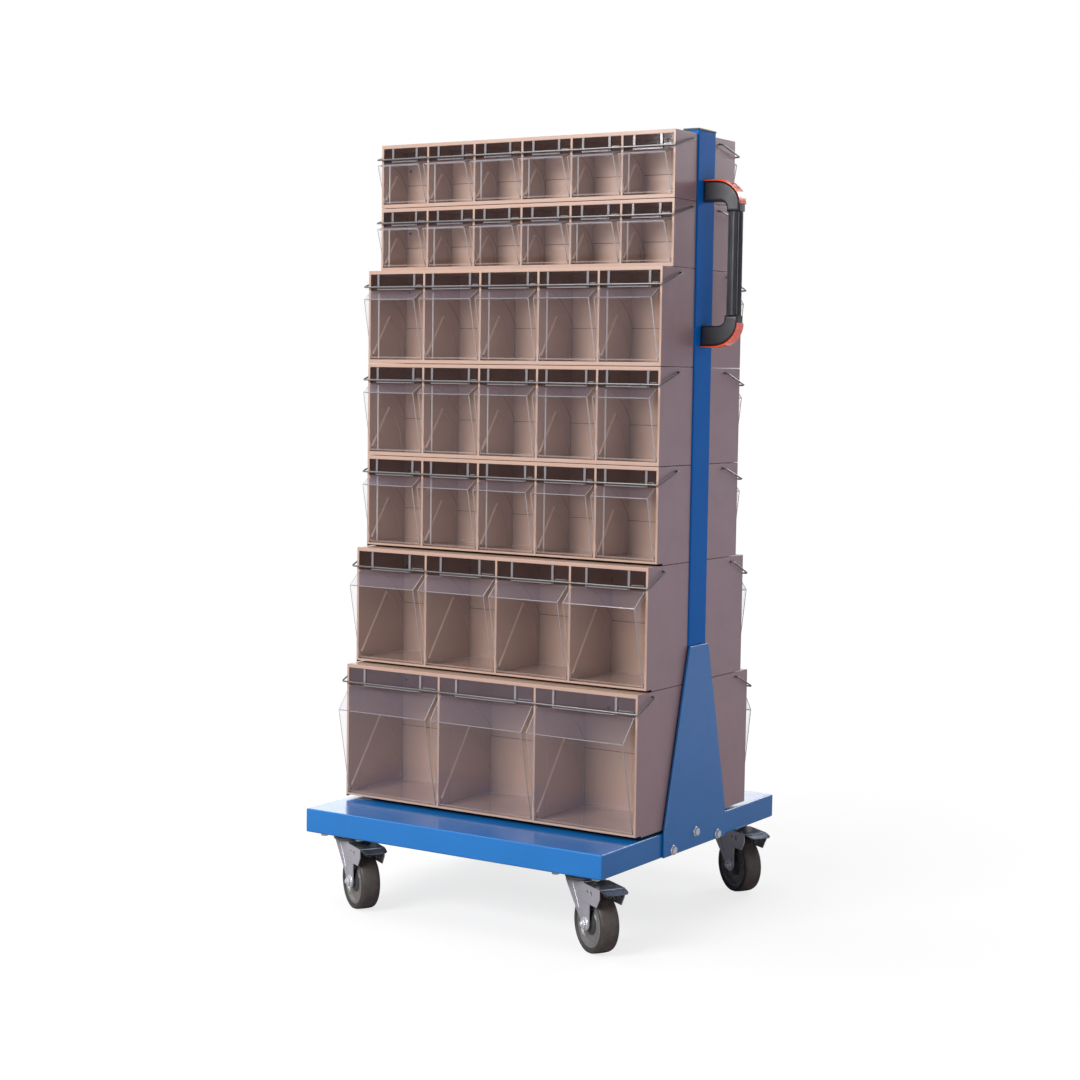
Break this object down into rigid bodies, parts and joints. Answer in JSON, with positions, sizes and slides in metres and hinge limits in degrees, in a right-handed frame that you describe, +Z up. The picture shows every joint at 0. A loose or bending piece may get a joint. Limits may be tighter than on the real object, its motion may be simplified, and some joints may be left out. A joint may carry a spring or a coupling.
{
  "type": "mobile bin cart",
  "caption": "Double-sided steel cart on braked swivel casters, carrying stacked racks of clear tilting bins, with a push handle at one end.",
  "frame": {"origin": "middle of the bounding box's underside, on the floor between the casters", "axes": "+Z up, +X towards the end with the handle, -Y out of the front stack of racks"},
  "size_m": [0.6834, 0.6324, 1.3455],
  "materials": {
    "blue_paint": "semi-gloss powder coat",
    "beige": "moulded, semi-matt",
    "clear": "clear, glossy",
    "steel_wire": "drawn wire",
    "zinc": "zinc plated",
    "black_plastic": "moulded",
    "orange_cover": "glossy",
    "tyre_rubber": "moulded tread"
  },
  "bodies": {
    "cart_frame": {"base_platform": "blue_paint", "handle": "black_plastic", "handle_cover_lower": "orange_cover", "handle_cover_upper": "orange_cover", "housing_front_row_1": "beige", "housing_front_row_2": "beige", "housing_front_row_3": "beige", "housing_front_row_4": "beige", "housing_front_row_5": "beige", "housing_front_row_6": "beige", "housing_front_row_7": "beige", "housing_rear_row_1": "beige", "housing_rear_row_2": "beige", "housing_rear_row_3": "beige", "housing_rear_row_4": "beige", "housing_rear_row_5": "beige", "housing_rear_row_6": "beige", "housing_rear_row_7": "beige", "post_left": "blue_paint", "post_right": "blue_paint"},
    "bail_front_row_1": {"bail_front_row_1": "steel_wire"},
    "bail_front_row_2": {"bail_front_row_2": "steel_wire"},
    "bail_front_row_3": {"bail_front_row_3": "steel_wire"},
    "bail_front_row_4": {"bail_front_row_4": "steel_wire"},
    "bail_front_row_5": {"bail_front_row_5": "steel_wire"},
    "bail_front_row_6": {"bail_front_row_6": "steel_wire"},
    "bail_front_row_7": {"bail_front_row_7": "steel_wire"},
    "bail_rear_row_1": {"bail_rear_row_1": "steel_wire"},
    "bail_rear_row_2": {"bail_rear_row_2": "steel_wire"},
    "bail_rear_row_3": {"bail_rear_row_3": "steel_wire"},
    "bail_rear_row_4": {"bail_rear_row_4": "steel_wire"},
    "bail_rear_row_5": {"bail_rear_row_5": "steel_wire"},
    "bail_rear_row_6": {"bail_rear_row_6": "steel_wire"},
    "bail_rear_row_7": {"bail_rear_row_7": "steel_wire"},
    "bins_front_row_1": {"bins_front_row_1": "clear"},
    "bins_front_row_2": {"bins_front_row_2": "clear"},
    "bins_front_row_3": {"bins_front_row_3": "clear"},
    "bins_front_row_4": {"bins_front_row_4": "clear"},
    "bins_front_row_5": {"bins_front_row_5": "clear"},
    "bins_front_row_6": {"bins_front_row_6": "clear"},
    "bins_front_row_7": {"bins_front_row_7": "clear"},
    "bins_rear_row_1": {"bins_rear_row_1": "clear"},
    "bins_rear_row_2": {"bins_rear_row_2": "clear"},
    "bins_rear_row_3": {"bins_rear_row_3": "clear"},
    "bins_rear_row_4": {"bins_rear_row_4": "clear"},
    "bins_rear_row_5": {"bins_rear_row_5": "clear"},
    "bins_rear_row_6": {"bins_rear_row_6": "clear"},
    "bins_rear_row_7": {"bins_rear_row_7": "clear"},
    "brake_pedal_front_left": {"brake_pedal_front_left": "zinc"},
    "brake_pedal_front_right": {"brake_pedal_front_right": "zinc"},
    "brake_pedal_rear_left": {"brake_pedal_rear_left": "zinc"},
    "brake_pedal_rear_right": {"brake_pedal_rear_right": "zinc"},
    "fork_front_left": {"fork_front_left": "zinc"},
    "fork_front_right": {"fork_front_right": "zinc"},
    "fork_rear_left": {"fork_rear_left": "zinc"},
    "fork_rear_right": {"fork_rear_right": "zinc"},
    "wheel_front_left": {"wheel_front_left": "tyre_rubber"},
    "wheel_front_right": {"wheel_front_right": "tyre_rubber"},
    "wheel_rear_left": {"wheel_rear_left": "tyre_rubber"},
    "wheel_rear_right": {"wheel_rear_right": "tyre_rubber"}
  },
  "joints": [
    {"name": "tilt_front_row_1", "type": "hinge", "parent": "cart_frame", "child": "bins_front_row_1", "pos_m": [-0.02955, -0.08911, 1.2363], "axis": [1, 0, 0], "range_deg": [0, 45]},
    {"name": "lift_front_row_1", "type": "hinge", "parent": "cart_frame", "child": "bail_front_row_1", "pos_m": [-0.02955, -0.03561, 1.3255], "axis": [-1, 0, 0], "range_deg": [0, 27.5]},
    {"name": "tilt_front_row_2", "type": "hinge", "parent": "cart_frame", "child": "bins_front_row_2", "pos_m": [-0.02955, -0.08911, 1.1243], "axis": [1, 0, 0], "range_deg": [0, 45]},
    {"name": "lift_front_row_2", "type": "hinge", "parent": "cart_frame", "child": "bail_front_row_2", "pos_m": [-0.02955, -0.03561, 1.2135], "axis": [-1, 0, 0], "range_deg": [0, 27.5]},
    {"name": "tilt_front_row_3", "type": "hinge", "parent": "cart_frame", "child": "bins_front_row_3", "pos_m": [-0.02955, -0.12461, 0.9603], "axis": [1, 0, 0], "range_deg": [0, 45]},
    {"name": "lift_front_row_3", "type": "hinge", "parent": "cart_frame", "child": "bail_front_row_3", "pos_m": [-0.02955, -0.07111, 1.1035], "axis": [-1, 0, 0], "range_deg": [0, 32]},
    {"name": "tilt_front_row_4", "type": "hinge", "parent": "cart_frame", "child": "bins_front_row_4", "pos_m": [-0.02955, -0.12461, 0.7963], "axis": [1, 0, 0], "range_deg": [0, 45]},
    {"name": "lift_front_row_4", "type": "hinge", "parent": "cart_frame", "child": "bail_front_row_4", "pos_m": [-0.02955, -0.07111, 0.9395], "axis": [-1, 0, 0], "range_deg": [0, 32]},
    {"name": "tilt_front_row_5", "type": "hinge", "parent": "cart_frame", "child": "bins_front_row_5", "pos_m": [-0.02955, -0.12461, 0.6323], "axis": [1, 0, 0], "range_deg": [0, 45]},
    {"name": "lift_front_row_5", "type": "hinge", "parent": "cart_frame", "child": "bail_front_row_5", "pos_m": [-0.02955, -0.07111, 0.7755], "axis": [-1, 0, 0], "range_deg": [0, 32]},
    {"name": "tilt_front_row_6", "type": "hinge", "parent": "cart_frame", "child": "bins_front_row_6", "pos_m": [-0.02955, -0.15261, 0.4253], "axis": [1, 0, 0], "range_deg": [0, 45]},
    {"name": "lift_front_row_6", "type": "hinge", "parent": "cart_frame", "child": "bail_front_row_6", "pos_m": [-0.02955, -0.10911, 0.611], "axis": [-1, 0, 0], "range_deg": [0, 50]},
    {"name": "tilt_front_row_7", "type": "hinge", "parent": "cart_frame", "child": "bins_front_row_7", "pos_m": [-0.02955, -0.17911, 0.1853], "axis": [1, 0, 0], "range_deg": [0, 45]},
    {"name": "lift_front_row_7", "type": "hinge", "parent": "cart_frame", "child": "bail_front_row_7", "pos_m": [-0.02955, -0.13661, 0.405], "axis": [-1, 0, 0], "range_deg": [0, 50]},
    {"name": "tilt_rear_row_1", "type": "hinge", "parent": "cart_frame", "child": "bins_rear_row_1", "pos_m": [-0.02955, 0.11149, 1.2363], "axis": [-1, 0, 0], "range_deg": [0, 45]},
    {"name": "lift_rear_row_1", "type": "hinge", "parent": "cart_frame", "child": "bail_rear_row_1", "pos_m": [-0.02955, 0.05799, 1.3255], "axis": [1, 0, 0], "range_deg": [0, 27.5]},
    {"name": "tilt_rear_row_2", "type": "hinge", "parent": "cart_frame", "child": "bins_rear_row_2", "pos_m": [-0.02955, 0.11149, 1.1243], "axis": [-1, 0, 0], "range_deg": [0, 45]},
    {"name": "lift_rear_row_2", "type": "hinge", "parent": "cart_frame", "child": "bail_rear_row_2", "pos_m": [-0.02955, 0.05799, 1.2135], "axis": [1, 0, 0], "range_deg": [0, 27.5]},
    {"name": "tilt_rear_row_3", "type": "hinge", "parent": "cart_frame", "child": "bins_rear_row_3", "pos_m": [-0.02955, 0.14699, 0.9603], "axis": [-1, 0, 0], "range_deg": [0, 45]},
    {"name": "lift_rear_row_3", "type": "hinge", "parent": "cart_frame", "child": "bail_rear_row_3", "pos_m": [-0.02955, 0.09349, 1.1035], "axis": [1, 0, 0], "range_deg": [0, 32]},
    {"name": "tilt_rear_row_4", "type": "hinge", "parent": "cart_frame", "child": "bins_rear_row_4", "pos_m": [-0.02955, 0.14699, 0.7963], "axis": [-1, 0, 0], "range_deg": [0, 45]},
    {"name": "lift_rear_row_4", "type": "hinge", "parent": "cart_frame", "child": "bail_rear_row_4", "pos_m": [-0.02955, 0.09349, 0.9395], "axis": [1, 0, 0], "range_deg": [0, 32]},
    {"name": "tilt_rear_row_5", "type": "hinge", "parent": "cart_frame", "child": "bins_rear_row_5", "pos_m": [-0.02955, 0.14699, 0.6323], "axis": [-1, 0, 0], "range_deg": [0, 45]},
    {"name": "lift_rear_row_5", "type": "hinge", "parent": "cart_frame", "child": "bail_rear_row_5", "pos_m": [-0.02955, 0.09349, 0.7755], "axis": [1, 0, 0], "range_deg": [0, 32]},
    {"name": "tilt_rear_row_6", "type": "hinge", "parent": "cart_frame", "child": "bins_rear_row_6", "pos_m": [-0.02955, 0.17499, 0.4253], "axis": [-1, 0, 0], "range_deg": [0, 45]},
    {"name": "lift_rear_row_6", "type": "hinge", "parent": "cart_frame", "child": "bail_rear_row_6", "pos_m": [-0.02955, 0.13149, 0.611], "axis": [1, 0, 0], "range_deg": [0, 50]},
    {"name": "tilt_rear_row_7", "type": "hinge", "parent": "cart_frame", "child": "bins_rear_row_7", "pos_m": [-0.02955, 0.20149, 0.1853], "axis": [-1, 0, 0], "range_deg": [0, 45]},
    {"name": "lift_rear_row_7", "type": "hinge", "parent": "cart_frame", "child": "bail_rear_row_7", "pos_m": [-0.02955, 0.15899, 0.405], "axis": [1, 0, 0], "range_deg": [0, 50]},
    {"name": "swivel_front_left", "type": "hinge", "parent": "cart_frame", "child": "fork_front_left", "pos_m": [-0.26955, -0.23981, 0.1217], "axis": [0, 0, 1], "continuous": true},
    {"name": "spin_front_left", "type": "hinge", "parent": "fork_front_left", "child": "wheel_front_left", "pos_m": [-0.23441, -0.26093, 0.05], "axis": [0.515, 0.8572, 0], "continuous": true},
    {"name": "brake_front_left", "type": "hinge", "parent": "fork_front_left", "child": "brake_pedal_front_left", "pos_m": [-0.22155, -0.26866, 0.1007], "axis": [0.515, 0.8572, 0], "range_deg": [0, 9]},
    {"name": "swivel_front_right", "type": "hinge", "parent": "cart_frame", "child": "fork_front_right", "pos_m": [0.21045, -0.23981, 0.1217], "axis": [0, 0, 1], "continuous": true},
    {"name": "spin_front_right", "type": "hinge", "parent": "fork_front_right", "child": "wheel_front_right", "pos_m": [0.24559, -0.26093, 0.05], "axis": [0.515, 0.8572, 0], "continuous": true},
    {"name": "brake_front_right", "type": "hinge", "parent": "fork_front_right", "child": "brake_pedal_front_right", "pos_m": [0.25845, -0.26866, 0.1007], "axis": [0.515, 0.8572, 0], "range_deg": [0, 9]},
    {"name": "swivel_rear_left", "type": "hinge", "parent": "cart_frame", "child": "fork_rear_left", "pos_m": [-0.26955, 0.26219, 0.1217], "axis": [0, 0, 1], "continuous": true},
    {"name": "spin_rear_left", "type": "hinge", "parent": "fork_rear_left", "child": "wheel_rear_left", "pos_m": [-0.23441, 0.24107, 0.05], "axis": [0.515, 0.8572, 0], "continuous": true},
    {"name": "brake_rear_left", "type": "hinge", "parent": "fork_rear_left", "child": "brake_pedal_rear_left", "pos_m": [-0.22155, 0.23334, 0.1007], "axis": [0.515, 0.8572, 0], "range_deg": [0, 9]},
    {"name": "swivel_rear_right", "type": "hinge", "parent": "cart_frame", "child": "fork_rear_right", "pos_m": [0.21045, 0.26219, 0.1217], "axis": [0, 0, 1], "continuous": true},
    {"name": "spin_rear_right", "type": "hinge", "parent": "fork_rear_right", "child": "wheel_rear_right", "pos_m": [0.24559, 0.24107, 0.05], "axis": [0.515, 0.8572, 0], "continuous": true},
    {"name": "brake_rear_right", "type": "hinge", "parent": "fork_rear_right", "child": "brake_pedal_rear_right", "pos_m": [0.25845, 0.23334, 0.1007], "axis": [0.515, 0.8572, 0], "range_deg": [0, 9]}
  ]
}
